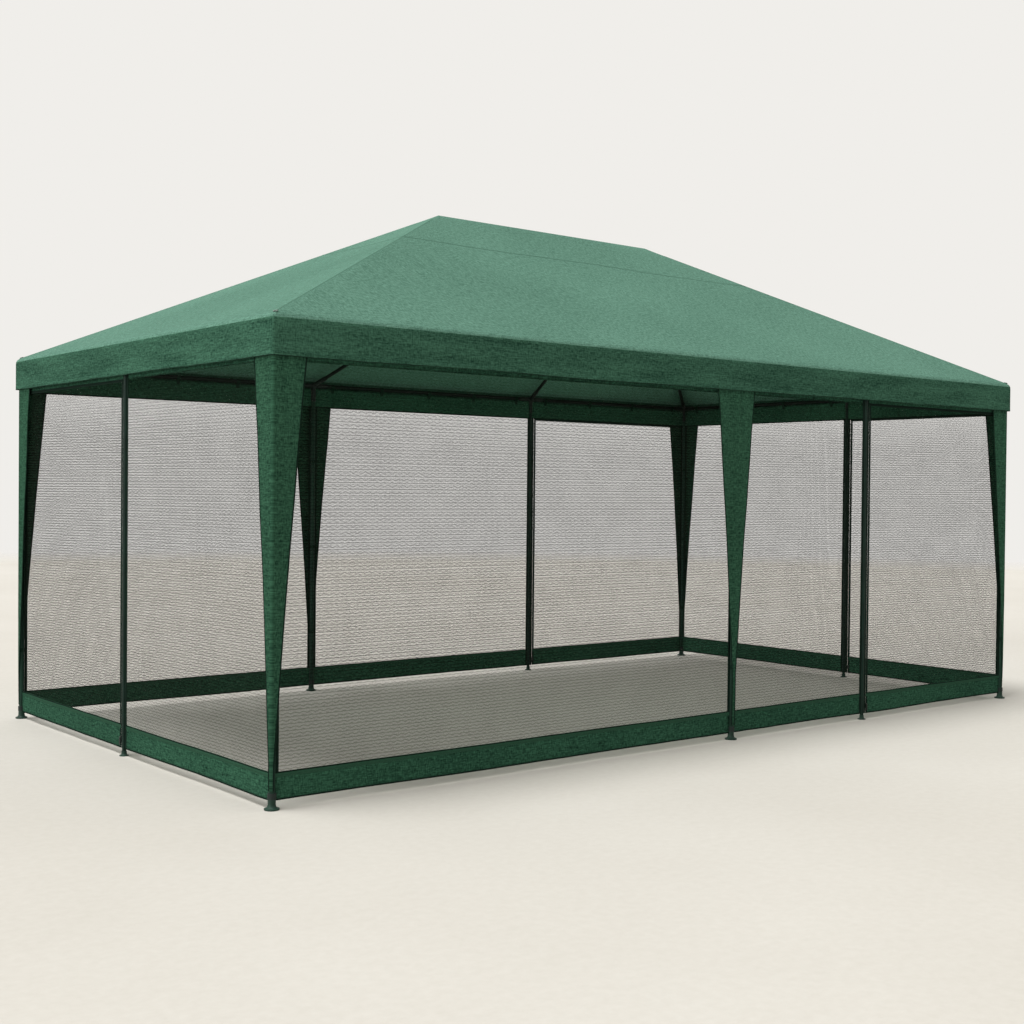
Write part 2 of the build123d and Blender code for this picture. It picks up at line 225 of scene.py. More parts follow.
# Zips and straps
TAPE = 0.018
ZIP_TAPE_THICK = 0.0016
ZIP_GAP = 0.004
TOOTH = (0.0026, 0.0016, 0.0020)
TOOTH_PITCH = 0.006
TOOTH_MARGIN = 0.015
STRAP_WIDTH = 0.025
STRAP_THICK = 0.0014
STRAP_SLACK = 0.0002
STRAP_HEIGHTS = (0.42, 1.02, 1.62)
LOOP_MARGIN = 0.14
LOOP_PITCH = 0.42
LOOP_TAIL = 0.026
LOOP_NECK = 0.012
FOLD_REACH = 0.06

# Camera and light
CAMERA_PLACE = Vector((-6.012, -7.064, 1.434))
CAMERA_HEADING = math.radians(39.05)
CAMERA_DIP = math.radians(0.90)
CAMERA_ROLL = math.radians(0.54)
CAMERA_LENS = 49.48
BACKDROP = (0.871, 0.855, 0.823, 1.0)
STUDIO_RADIUS = 24.0
HIGH_LIGHT_TURN = (math.radians(-5), math.radians(-14), 0)
FILL_DIRECTION = Vector((0.98, 0.05, -0.13))

UP = Vector((0, 0, 1))
FRAME = "frame"


# -------- reading the frame


def box(node):
    """Lowest and highest corner of a CAD node as vectors."""
    low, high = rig.box(node)
    return Vector(low), Vector(high)


def middle(node):
    """Centre of a CAD node's box."""
    low, high = box(node)
    return (low + high) / 2


LEG_NAMES = ("front_left", "front_right", "back_left", "back_right", "front_middle", "back_middle")
legs = {name: middle(f"leg_{name}") for name in LEG_NAMES}
poles = {name: middle(f"door_pole_{name}") for name in ("front", "back", "left", "right")}
leg_low, leg_high = box("leg_front_left")
LEG_RADIUS = (leg_high.x - leg_low.x) / 2
pole_low, pole_high = box("door_pole_front")
POLE_RADIUS = (pole_high.x - pole_low.x) / 2
rail_low, rail_high = box("eave_rail_left")
RAIL_Z = (rail_low.z + rail_high.z) / 2
RAIL_RADIUS = (rail_high.z - rail_low.z) / 2
wall_low, wall_high = box("front_wall_left")
WALL_BOTTOM = wall_low.z
WALL_TOP = wall_high.z
DOOR_TOP = box("front_door")[1].z
HEADER_BOTTOM = DOOR_TOP + HEADER_GAP
SKIRT_TOP = WALL_BOTTOM + SKIRT_HEIGHT
NET_BOTTOM = SKIRT_TOP - NET_TUCK
LEG_EDGE = LEG_RADIUS + POST_GAP
POLE_EDGE = POLE_RADIUS + POST_GAP


class Side:
    """A wall plane. Its points are given by distance along it, outside it and height."""

    def __init__(self, along_x, plane, out):
        self.along_x = along_x
        self.plane = plane
        self.out = out
        self.seed = plane * 3.7

    def point(self, along, out, z):
        across = self.plane + self.out * out
        return Vector((along, across, z)) if self.along_x else Vector((across, along, z))

    def along(self, place):
        return place.x if self.along_x else place.y

    @property
    def along_axis(self):
        return Vector((1, 0, 0)) if self.along_x else Vector((0, 1, 0))


sides = {
    "front": Side(True, legs["front_left"].y, -1),
    "back": Side(True, legs["back_left"].y, 1),
    "left": Side(False, legs["front_left"].x, -1),
    "right": Side(False, legs["front_right"].x, 1),
}


# -------- mesh tools


def ripple(run, scale, seed):
    """Smooth repeatable wave in -1 to 1 along a length."""
    return noise.noise(Vector((run / scale, seed, 0.37 * seed)))


def finish_mesh(name, points, faces, uvs, materials):
    """Object from points and faces, with one UV per face corner in metres of cloth."""
    mesh = bpy.data.meshes.new(name)
    mesh.from_pydata(points, [], faces)
    layer = mesh.uv_layers.new(name="flat")
    for polygon, corners in zip(mesh.polygons, uvs):
        polygon.use_smooth = True
        for loop, uv in zip(polygon.loop_indices, corners):
            layer.data[loop].uv = uv
    for material in materials:
        mesh.materials.append(material)
    piece = bpy.data.objects.new(name, mesh)
    bpy.context.collection.objects.link(piece)
    return piece


def grid(name, columns, rows, place, material):
    """Sheet whose place(a, b) gives a point and its UV, for a and b from 0 to 1."""
    samples = [[place(i / columns, j / rows) for i in range(columns + 1)] for j in range(rows + 1)]
    points = [point for row in samples for point, _ in row]
    faces = []
    uvs = []
    for j in range(rows):
        for i in range(columns):
            corners = [(j, i), (j, i + 1), (j + 1, i + 1), (j + 1, i)]
            faces.append([row * (columns + 1) + column for row, column in corners])
            uvs.append([samples[row][column][1] for row, column in corners])
    return finish_mesh(name, points, faces, uvs, [material])


def thicken(piece, thickness):
    """Gives a sheet its thickness, half on each side."""
    modifier = piece.modifiers.new("thickness", "SOLIDIFY")
    modifier.thickness = thickness
    modifier.offset = 0.0
    graph = bpy.context.evaluated_depsgraph_get()
    mesh = bpy.data.meshes.new_from_object(piece.evaluated_get(graph))
    piece.modifiers.clear()
    piece.data = mesh
    return piece


def ribbon(name, path, across, width, thickness, material, closed=False):
    """Flat strip with rounded edges. Its middle follows path and its width lies along across."""
    half = width / 2
    rise = thickness / 2
    edge = min(rise, half * 0.5)
    section = [(-half, 0), (-half + edge, rise), (half - edge, rise), (half, 0)]
    section += [(half - edge, -rise), (-half + edge, -rise)]
    count = len(path)
    points = []
    runs = [0.0]
    for i, centre in enumerate(path):
        before = path[i - 1] if i or closed else path[0]
        after = path[(i + 1) % count] if i + 1 < count or closed else path[-1]
        tangent = (after - before).normalized()
        wide = across[i] if isinstance(across, list) else across
        normal = tangent.cross(wide).normalized()
        points += [centre + wide * a + normal * b for a, b in section]
        runs.append(runs[-1] + (path[(i + 1) % count] - centre).length)
    faces = []
    uvs = []
    size = len(section)
    for i in range(count if closed else count - 1):
        for k in range(size):
            m = (k + 1) % size
            n = (i + 1) % count
            faces.append([i * size + k, i * size + m, n * size + m, n * size + k])
            a, b = section[k][0], section[m][0]
            uvs.append([(runs[i], a), (runs[i], b), (runs[i + 1], b), (runs[i + 1], a)])
    if not closed:
        for i, order in ((0, 1), (count - 1, -1)):
            faces.append([i * size + k for k in range(size)][::order])
            uvs.append([(runs[i], 0)] * size)
    return finish_mesh(name, points, faces, uvs, [material])


def boxes(name, blocks, material):
    """One mesh of small blocks, each given as (centre, half extents along x, y and z)."""
    points = []
    faces = []
    uvs = []
    quads = [(0, 1, 3, 2), (4, 6, 7, 5), (0, 4, 5, 1), (2, 3, 7, 6), (0, 2, 6, 4), (1, 5, 7, 3)]
    for centre, half in blocks:
        start = len(points)
        for i in (-1, 1):
            for j in (-1, 1):
                for k in (-1, 1):
                    points.append(centre + Vector((i * half[0], j * half[1], k * half[2])))
        for quad in quads:
            faces.append([start + corner for corner in quad])
            uvs.append([(points[start + corner].x, points[start + corner].z) for corner in quad])
    piece = finish_mesh(name, points, faces, uvs, [material])
    for polygon in piece.data.polygons:
        polygon.use_smooth = False
    return piece


# -------- materials


class Shader:
    """A material under construction, with plain values set on the shader's own sockets."""

    def __init__(self, name, **values):
        self.material = bpy.data.materials.new(name)
        self.material.use_nodes = True
        self.tree = self.material.node_tree
        self.surface = self.tree.nodes["Principled BSDF"]
        for socket, value in values.items():
            self.surface.inputs[socket.replace("_", " ")].default_value = value

    def node(self, kind, sockets, **settings):
        node = self.tree.nodes.new(kind)
        for key, value in settings.items():
            setattr(node, key, value)
        for socket, value in sockets.items():
            self.plug(value, node.inputs[socket])
        return node

    def plug(self, value, socket):
        if isinstance(value, bpy.types.NodeSocket):
            self.tree.links.new(value, socket)
        else:
            socket.default_value = value

    def flat(self):
        """The cloth's own flat coordinates, in metres."""
        return self.node("ShaderNodeUVMap", {}, uv_map="flat").outputs[0]

    def solid(self):
        """Coordinates through a rigid part, in metres."""
        return self.node("ShaderNodeTexCoord", {}).outputs["Object"]

    def scaled(self, vector, scale):
        return self.node("ShaderNodeMapping", {0: vector, "Scale": scale}).outputs[0]

    def noise(self, vector, scale, detail=3.0, roughness=0.5):
        sockets = {"Vector": vector, "Scale": scale, "Detail": detail, "Roughness": roughness}
        return self.node("ShaderNodeTexNoise", sockets).outputs[0]

    def bands(self, vector, direction, pitch, distortion=0.0):
        """Sine bands of the given pitch, in metres, across X or Y."""
        sockets = {"Vector": vector, "Scale": math.pi / (10 * pitch), "Distortion": distortion}
        return self.node("ShaderNodeTexWave", sockets, bands_direction=direction).outputs[1]

    def math(self, operation, a, b=0.0):
        return self.node("ShaderNodeMath", {0: a, 1: b}, operation=operation).outputs[0]

    def stretch(self, value, low, high, to_low=0.0, to_high=1.0):
        sockets = {0: value, 1: low, 2: high, 3: to_low, 4: to_high}
        return self.node("ShaderNodeMapRange", sockets).outputs[0]

    def mix(self, factor, a, b):
        node = self.node("ShaderNodeMix", {}, data_type="RGBA")
        self.plug(factor, node.inputs[0])
        self.plug(a, node.inputs[6])
        self.plug(b, node.inputs[7])
        return node.outputs[2]

    def bump(self, height, depth, strength=1.0, normal=None):
        sockets = {"Height": height, "Distance": depth, "Strength": strength}
        if normal:
            sockets["Normal"] = normal
        return self.node("ShaderNodeBump", sockets).outputs[0]

    def done(self, color=None, roughness=None, normal=None, alpha=None):
        links = {"Base Color": color, "Roughness": roughness, "Normal": normal, "Alpha": alpha}
        for socket, value in links.items():
            if value:
                self.plug(value, self.surface.inputs[socket])
        return self.material


def rgb(red, green, blue):
    return (red, green, blue, 1.0)


def woven(name, dark, light, slub, crease, crease_scale, shade=0.0):
    """Plain-woven cloth: threads both ways, streaks along the weft, slow fading, and creases that bump the surface and
    are also painted into the tone as shade.

    slub and crease are depths in metres. shade is the share of the tone that follows the creases: painted shade in the
    folds.
    """
    cloth = Shader(name, Roughness=0.9, Specular_IOR_Level=0.03)
    flat = cloth.flat()
    warp = cloth.bands(flat, "X", THREAD_PITCH)
    weft = cloth.bands(flat, "Y", THREAD_PITCH)
    threads = cloth.math("MULTIPLY", warp, weft)
    streaks = cloth.noise(cloth.scaled(flat, (14.0, 110.0, 1.0)), 1.0, 3.0, 0.6)
    weft_slubs = cloth.noise(cloth.scaled(flat, (42.0, 150.0, 1.0)), 1.0, 2.0, 0.6)
    warp_slubs = cloth.noise(cloth.scaled(flat, (150.0, 42.0, 1.0)), 1.0, 2.0, 0.6)
    grain = cloth.math("MULTIPLY", cloth.math("ADD", weft_slubs, warp_slubs), 0.5)
    fading = cloth.noise(flat, 0.9, 3.0)
    creases = cloth.noise(cloth.scaled(flat, crease_scale), 1.0, 4.0, 0.55)
    tone = cloth.math("MULTIPLY", streaks, 0.20)
    tone = cloth.math("ADD", tone, cloth.math("MULTIPLY", grain, 0.68 - shade))
    tone = cloth.math("ADD", tone, cloth.math("MULTIPLY", fading, 0.12))
    # Painted shade: the tone darkens and lightens along the creases.
    tone = cloth.math("ADD", tone, cloth.math("MULTIPLY", creases, shade))
    tone = cloth.stretch(tone, 0.41, 0.59)
    color = cloth.mix(tone, dark, light)
    normal = cloth.bump(creases, crease)
    normal = cloth.bump(streaks, slub, 1.0, normal)
    normal = cloth.bump(grain, 0.0016, 1.0, normal)
    normal = cloth.bump(threads, 0.0004, 0.5, normal)
    return cloth.done(color=color, normal=normal)


def netting():
    """Insect netting: a fine lattice of dark thread with wavy knitted courses, sparser near its top."""
    net = Shader("netting", Roughness=0.9, Specular_IOR_Level=0.05)
    flat = net.flat()
    split = net.node("ShaderNodeSeparateXYZ", {0: flat})
    across, up = split.outputs[0], split.outputs[1]

    def threads(value):
        share = net.math("FRACT", net.math("DIVIDE", value, NET_PITCH))
        return net.math("LESS_THAN", share, NET_THREAD_SHARE)

    def turn(value, length):
        return net.math("MULTIPLY", value, 2 * math.pi / length)

    def wave(value, length):
        return net.math("SINE", turn(value, length))

    lattice = net.math("MAXIMUM", threads(across), threads(up))
    sway = net.math("MULTIPLY", wave(across, 0.043), wave(up, 0.062))
    phase = net.math("ADD", turn(up, COURSE_PITCH), net.math("MULTIPLY", sway, 1.3))
    courses = net.stretch(net.math("SINE", phase), 0.1, 0.9, 0.0, COURSE_COVER)
    thinning = net.stretch(up, THINNING_START, THINNING_END, 1.0, 0.3)
    courses = net.math("MULTIPLY", courses, thinning)
    uneven = net.stretch(net.noise(flat, 5.0, 3.0), 0.3, 0.7, 0.9, 1.05)
    cover = net.math("MULTIPLY", net.math("MAXIMUM", lattice, courses), uneven)
    tone = net.noise(flat, 120.0, 2.0)
    color = net.mix(tone, rgb(0.002, 0.003, 0.002), rgb(0.007, 0.009, 0.006))
    return net.done(color=color, alpha=cover)


def stitched(name, dark, light, rows, thread):
    """Folded hem or tape with rows of lockstitch at the given distances from its middle line."""
    tape = Shader(name, Roughness=0.9, Specular_IOR_Level=0.03)
    flat = tape.flat()
    split = tape.node("ShaderNodeSeparateXYZ", {0: flat})
    run, offset = split.outputs[0], split.outputs[1]
    dash = tape.math("FRACT", tape.math("DIVIDE", run, STITCH_PITCH))
    dash = tape.math("LESS_THAN", dash, STITCH_SHARE)
    stitches = None
    for row in rows:
        near = tape.math("ABSOLUTE", tape.math("SUBTRACT", offset, row))
        line = tape.math("LESS_THAN", near, STITCH_HALF_WIDTH)
        stitches = line if stitches is None else tape.math("MAXIMUM", stitches, line)
    stitches = tape.math("MULTIPLY", stitches, dash)
    ribs = tape.bands(flat, "X", 0.0013)
    grain = tape.noise(tape.scaled(flat, (60.0, 200.0, 1.0)), 1.0, 3.0)
    color = tape.mix(stitches, tape.mix(grain, dark, light), thread)
    normal = tape.bump(ribs, 0.0002, 0.6)
    normal = tape.bump(stitches, 0.0006, 1.0, normal)
    return tape.done(color=color, normal=normal)


def coated_tube(name, dark, light):
    """Steel tube with a dull green powder coat, a little orange peel and dusty scuffs."""
    coat = Shader(name, Specular_IOR_Level=0.12)
    place = coat.solid()
    peel = coat.noise(place, 700.0, 2.0)
    scuffs = coat.noise(coat.scaled(place, (90.0, 90.0, 12.0)), 1.0, 5.0, 0.65)
    tone = coat.stretch(scuffs, 0.35, 0.75)
    color = coat.mix(tone, dark, light)
    roughness = coat.stretch(scuffs, 0.3, 0.8, 0.42, 0.62)
    return coat.done(color=color, roughness=roughness, normal=coat.bump(peel, 0.0002, 0.5))


def moulded(name, dark, light, texture=260.0, low=0.42, high=0.62):
    """Moulded plastic or rubber with a fine spark-eroded texture and slight mottling.

    texture is the scale of its pits, and low and high are the ends of its roughness.
    """
    plastic = Shader(name, Specular_IOR_Level=0.25)
    place = plastic.solid()
    pits = plastic.noise(place, texture, 3.0)
    mottle = plastic.noise(place, 18.0, 4.0)
    color = plastic.mix(plastic.stretch(mottle, 0.35, 0.7), dark, light)
    roughness = plastic.stretch(mottle, 0.3, 0.7, low, high)
    return plastic.done(color=color, roughness=roughness, normal=plastic.bump(pits, 0.0003, 0.6))


def eyelet_metal():
    """Painted metal ring, bare and brighter where it rubs."""
    ring = Shader("eyelet_metal", Metallic=0.6)
    place = ring.solid()
    wear = ring.stretch(ring.noise(place, 140.0, 4.0), 0.4, 0.65)
    color = ring.mix(wear, rgb(0.03, 0.06, 0.045), rgb(0.22, 0.28, 0.25))
    return ring.done(color=color, roughness=ring.stretch(wear, 0, 1, 0.35, 0.55))


def studio_floor():
    """Pale plaster floor, warm, faintly mottled, that fades into the backdrop far away."""
    floor = Shader("studio_floor", Roughness=0.9)
    place = floor.solid()
    cloud = floor.noise(place, 0.35, 5.0, 0.55)
    speck = floor.noise(place, 24.0, 5.0, 0.65)
    tone = floor.math("ADD", floor.math("MULTIPLY", cloud, 0.6), floor.math("MULTIPLY", speck, 0.4))
    tone = floor.stretch(tone, 0.35, 0.65)
    color = floor.mix(tone, rgb(0.445, 0.424, 0.382), rgb(0.50, 0.482, 0.442))
    distance = floor.node("ShaderNodeVectorMath", {0: place}, operation="LENGTH").outputs["Value"]
    fade = floor.stretch(distance, 0.80 * STUDIO_RADIUS, 0.98 * STUDIO_RADIUS, 1.0, 0.0)
    return floor.done(color=color, normal=floor.bump(speck, 0.002, 0.3), alpha=fade)


# One canopy fabric in lit and shaded copies: the roof copy is painted lighter, as painted light from above and painted
# sheen on the slopes.
roof_cloth_lit = woven(
    "roof_cloth_lit",
    dark=rgb(0.046, 0.108, 0.078),
    light=rgb(0.112, 0.229, 0.172),
    slub=0.0010,
    crease=0.003,
    crease_scale=(1.6, 6.0, 1.0),
)
# Darker valance copy of the canopy fabric for the upright faces: painted shade.
valance_cloth_shaded = woven(
    "valance_cloth_shaded",
    dark=rgb(0.007, 0.029, 0.018),
    light=rgb(0.048, 0.126, 0.082),
    slub=0.0024,
    crease=0.012,
    crease_scale=(1.6, 13.0, 1.0),
    shade=0.18,
)
# Darker band copy of the canopy fabric for the upright skirts and headers: painted shade.
band_cloth = woven(
    "band_cloth",
    dark=rgb(0.005, 0.021, 0.013),
    light=rgb(0.033, 0.102, 0.061),
    slub=0.0020,
    crease=0.006,
    crease_scale=(3.0, 9.0, 1.0),
    shade=0.06,
)
# Darker cover copy of the canopy fabric for the upright leg covers: painted shade.
cover_cloth = woven(
    "cover_cloth",
    dark=rgb(0.005, 0.022, 0.013),
    light=rgb(0.034, 0.098, 0.058),
    slub=0.0020,
    crease=0.010,
    crease_scale=(16.0, 1.6, 1.0),
    shade=0.08,
)
net_cloth = netting()
# The seam tape takes the roof copy's lighter colour: painted light, as on the roof.
roof_seam = stitched(
    "roof_seam",
    dark=rgb(0.048, 0.112, 0.080),
    light=rgb(0.080, 0.168, 0.124),
    rows=(-0.005, 0.005),
    thread=rgb(0.09, 0.19, 0.14),
)
band_hem = stitched(
    "band_hem",
    dark=rgb(0.012, 0.040, 0.024),
    light=rgb(0.028, 0.080, 0.048),
    rows=(-0.009, 0.009),
    thread=rgb(0.04, 0.10, 0.065),
)
edge_tape = stitched(
    "edge_tape",
    dark=rgb(0.003, 0.008, 0.005),
    light=rgb(0.007, 0.017, 0.012),
    rows=(-0.006, 0.006),
    thread=rgb(0.02, 0.04, 0.03),
)
webbing = stitched(
    "webbing",
    dark=rgb(0.004, 0.013, 0.008),
    light=rgb(0.009, 0.028, 0.018),
    rows=(-0.009, 0.009),
    thread=rgb(0.01, 0.03, 0.02),
)
tooth_plastic = moulded("tooth_plastic", rgb(0.008, 0.014, 0.011), rgb(0.016, 0.026, 0.021), 900.0)
leg_paint = coated_tube("leg_paint", rgb(0.004, 0.017, 0.010), rgb(0.012, 0.040, 0.026))
pole_paint = coated_tube("pole_paint", rgb(0.002, 0.009, 0.006), rgb(0.007, 0.026, 0.017))
# Near-black copy of the green tube coat for the rails and rafters under the roof: painted shade.
rail_paint_shaded = coated_tube("rail_paint_shaded", rgb(0.001, 0.003, 0.002), rgb(0.003, 0.008, 0.006))
foot_plastic = moulded("foot_plastic", rgb(0.004, 0.020, 0.012), rgb(0.011, 0.038, 0.025))
collar_rubber = moulded(
    "collar_rubber", rgb(0.005, 0.010, 0.008), rgb(0.012, 0.020, 0.017), 500.0, low=0.55, high=0.8
)
hub_plastic = moulded("hub_plastic", rgb(0.001, 0.004, 0.003), rgb(0.004, 0.009, 0.007))
slider_plastic = moulded(
    "slider_plastic", rgb(0.006, 0.010, 0.008), rgb(0.016, 0.022, 0.019), 700.0, low=0.3, high=0.45
)


def dress(material, *nodes):
    """Gives CAD nodes their finish."""
    for name in nodes:
        node = frame["nodes"][name]
        for index in range(max(1, len(node.material_slots))):
            if len(node.material_slots) <= index:
                node.data.materials.append(material)
            node.material_slots[index].material = material


def dress_frame():
    """Finishes of the CAD nodes that stay in sight."""
    for name in frame["nodes"]:
        if name.startswith(("eave_rail", "hip_rafter", "rafter", "ridge_tube")):
            # Rails and rafters take the darker copy of the coat, painted shade for their place under the roof.
            dress(rail_paint_shaded, name)
        elif name.startswith("door_pole_") and name != "door_pole_feet":
            dress(pole_paint, name)
        elif name.endswith(("zip_slider", "zip_pull")):
            dress(slider_plastic, name)
    dress(leg_paint, *[f"leg_{name}" for name in LEG_NAMES])
    dress(foot_plastic, "leg_feet", "door_pole_feet")
    dress(collar_rubber, "foot_collars")
    dress(hub_plastic, "corner_connectors", "side_connectors", "ridge_connectors", "pole_clamps")
    dress(eyelet_metal(), "canopy_eyelets")


dress_frame()


# -------- canopy


def canopy_outline():
    """Half sizes, eave, ridge and hem heights, read from the CAD canopy."""
    vertices = [v.co for v in frame["nodes"]["canopy"].data.vertices]
    low, high = box("canopy")
    ridge_half = max(abs(v.x) for v in vertices if v.z > high.z - 0.001)
    eave = max(v.z for v in vertices if v.x > high.x - 0.0001)
    return high.x, high.y, low.z, eave, high.z, ridge_half


HALF_X, HALF_Y, HEM_Z, EAVE_Z, RIDGE_Z, RIDGE_HALF = canopy_outline()
LONG_COLUMNS = 220
SHORT_COLUMNS = 112
CORNER_COLUMNS = 4
VALANCE_ROWS = 8
FOLD_ROWS = 4
SLOPE_ROWS = 36
HEM_WIDTH = 0.022
SEAM_RISE_SHARE = 0.72
ROUND = ("front", "right", "back", "left")  # the sides in turn, as the columns go
TURN = {"front": 0.0, "right": 0.5 * math.pi, "back": math.pi, "left": 1.5 * math.pi}


def fold_point(reach, share):
    """Inset and height on the rounded eave fold, for a roof that runs in by reach up to the ridge."""
    rise = RIDGE_Z - EAVE_Z
    slope = math.atan2(rise, reach)
    start = (0.0, EAVE_Z - EAVE_ROUNDING)
    end = (EAVE_ROUNDING * math.cos(slope), EAVE_Z + EAVE_ROUNDING * math.sin(slope))
    a, b, c = (1 - share) ** 2, 2 * share * (1 - share), share**2
    return c * end[0], a * start[1] + b * EAVE_Z + c * end[1]


def canopy_rows():
    """Rows from hem to ridge, and the index of the row that carries the roof seam.

    Each row has an inset and a height for the short sides and for the long sides. drop grows from
    0 at the fold to 1 at the hem, and rise from 0 at the fold to 1 at the ridge.
    """
    reaches = (HALF_X - RIDGE_HALF, HALF_Y)
    rows = []
    fold_low = EAVE_Z - EAVE_ROUNDING
    heights = [HEM_Z, HEM_Z + HEM_WIDTH / 2, HEM_Z + HEM_WIDTH]
    step = (fold_low - heights[-1]) / (VALANCE_ROWS - 2)
    heights += [heights[-1] + step * k for k in range(1, VALANCE_ROWS - 2)]
    for height in heights:
        drop = (fold_low - height) / (fold_low - HEM_Z)
        rows.append({"short": (0.0, height), "long": (0.0, height), "drop": drop, "rise": 0.0})
    for k in range(FOLD_ROWS):
        share = k / FOLD_ROWS
        short, long = (fold_point(reach, share) for reach in reaches)
        rows.append({"short": short, "long": long, "drop": 0.0, "rise": 0.0})
    starts = [fold_point(reach, 1.0) for reach in reaches]
    shares = [k / SLOPE_ROWS for k in range(SLOPE_ROWS + 1)]
    seam_row = round(SEAM_RISE_SHARE * SLOPE_ROWS)
    shares[seam_row] = SEAM_RISE_SHARE
    for share in shares:
        short, long = (
            (inset + (reach - inset) * share, height + (RIDGE_Z - height) * share)
            for (inset, height), reach in zip(starts, reaches)
        )
        rows.append({"short": short, "long": long, "drop": 0.0, "rise": share})
    return rows, len(rows) - len(shares) + seam_row


def canopy_columns():
    """Columns round the canopy: side or corner, and the share along it."""
    columns = []
    for side in ROUND:
        count = LONG_COLUMNS if side in ("front", "back") else SHORT_COLUMNS
        columns += [(side, False, k / count) for k in range(count)]
        columns += [(side, True, k / CORNER_COLUMNS) for k in range(CORNER_COLUMNS)]
    return columns


def canopy_point(column, row):
    """Point of the canopy's surface, with its sag, ripples and soft corners."""
    side, corner, share = column
    half_x = HALF_X - row["short"][0]
    half_y = HALF_Y - row["long"][0]
    rounding = min(CORNER_ROUNDING, half_y * 0.5)
    long_side = side in ("front", "back")
    turn = TURN[side]
    outward = Vector((math.sin(turn), -math.cos(turn), 0))
    forward = Vector((math.cos(turn), math.sin(turn), 0))
    half_run, half_out = (half_x, half_y) if long_side else (half_y, half_x)
    height = row["long"][1] if long_side else row["short"][1]
    if corner:
        angle = share * math.pi / 2
        run = half_run - rounding + rounding * math.sin(angle)
        out = half_out - rounding + rounding * math.cos(angle)
        other = row["short"][1] if long_side else row["long"][1]
        point = forward * run + outward * out
        point.z = height + (other - height) * share
        return point
    run = (half_run - rounding) * (2 * share - 1)
    point = forward * run + outward * half_out
    point.z = height
    held = min(1.0, 12 * share * (1 - share))
    length = run + 2.3 * turn
    if row["drop"]:
        wave = 0.007 * ripple(length, 0.42, 3.1) + 0.003 * ripple(length, 0.13, 8.4)
        point += outward * (row["drop"] * held * (wave - 0.001))
        point.z += row["drop"] * held * 0.006 * ripple(length, 0.7, 5.2)
    elif row["rise"]:
        lobes = 2 if long_side else 1
        bay = abs(math.sin(lobes * math.pi * share)) * math.sin(math.pi * row["rise"])
        wrinkle = 0.0016 * ripple(length, 0.30, 1.0 + 4.0 * row["rise"])
        point.z -= ROOF_SAG * bay + wrinkle * held * math.sin(math.pi * row["rise"])
    return point


def slope_uv(point, normal):
    """Flat coordinates of a canopy face: along its eave and up its slope."""
    run = point.x if abs(normal.y) > abs(normal.x) else point.y
    lean = max(0.3, math.sqrt(max(0.0, 1 - normal.z**2)))
    return (run, point.z / lean)


def sew_canopy(points):
    """Object of the whole canopy from its rows of points, with the lit roof copy and the shaded valance copy of its
    cloth.
    """
    count = len(points[0])
    faces = []
    for j in range(len(points) - 1):
        for i in range(count):
            n = (i + 1) % count
            faces.append([j * count + i, j * count + n, (j + 1) * count + n, (j + 1) * count + i])
    mesh = bpy.data.meshes.new("canopy_cloth")
    mesh.from_pydata([p for row in points for p in row], [], faces)
    edit = bmesh.new()
    edit.from_mesh(mesh)
    bmesh.ops.remove_doubles(edit, verts=edit.verts, dist=0.0004)
    bmesh.ops.dissolve_degenerate(edit, edges=edit.edges, dist=0.0001)
    edit.to_mesh(mesh)
    edit.free()
    layer = mesh.uv_layers.new(name="flat")
    mesh.materials.append(roof_cloth_lit)
    mesh.materials.append(valance_cloth_shaded)
    for polygon in mesh.polygons:
        polygon.use_smooth = True
        # Faces that look up take the lit roof copy and steep faces the shaded valance copy: painted light and shade by
        # facing.
        polygon.material_index = 1 if abs(polygon.normal.z) < 0.25 else 0
        for loop in polygon.loop_indices:
            vertex = mesh.vertices[mesh.loops[loop].vertex_index].co
            layer.data[loop].uv = slope_uv(vertex, polygon.normal)
    canopy = bpy.data.objects.new("canopy_cloth", mesh)
    bpy.context.collection.objects.link(canopy)
    return thicken(canopy, CANOPY_CLOTH)


def canopy_seams(points, columns, seam_row):
    """Hem, hem edge, the seam that runs round the roof, and the four hip seams."""
    hem = ribbon("valance_hem", points[1], UP, HEM_WIDTH, 2 * CANOPY_CLOTH, valance_cloth_shaded, closed=True)
    edge_path = [point + UP * (VALANCE_EDGE / 2) for point in points[0]]
    edge = ribbon("valance_edge", edge_path, UP, VALANCE_EDGE, 0.0022, edge_tape, closed=True)
    path = points[seam_row]
    up_slope = [(above - on).normalized() for on, above in zip(path, points[seam_row + 1])]
    seam = ribbon("roof_seam", path, up_slope, SEAM_WIDTH, SEAM_THICK, roof_seam, closed=True)
    seams = [hem, edge, seam]
    for name, side in zip(("front_right", "back_right", "back_left", "front_left"), ROUND):
        index = columns.index((side, True, 0.5))
        path = [row[index] for row in points[-SLOPE_ROWS - 1 : -2]]
        level = UP.cross(path[-1] - path[0]).normalized()
        seams.append(ribbon(f"hip_seam_{name}", path, level, HIP_SEAM_WIDTH, HIP_SEAM_THICK, roof_seam))
    return seams


def canopy_flat_size():
    """Width and depth of the canopy laid flat, and the area of its cloth."""
    drop = EAVE_Z - HEM_Z
    long_slope = math.hypot(HALF_Y, RIDGE_Z - EAVE_Z)
    short_slope = math.hypot(HALF_X - RIDGE_HALF, RIDGE_Z - EAVE_Z)
    area = 2 * (HALF_X + RIDGE_HALF) * long_slope + 2 * HALF_Y * short_slope
    area += 4 * (HALF_X + HALF_Y) * drop
    flat = (2 * (HALF_X + drop), 2 * (long_slope + drop))
    return flat, min(area, flat[0] * flat[1])


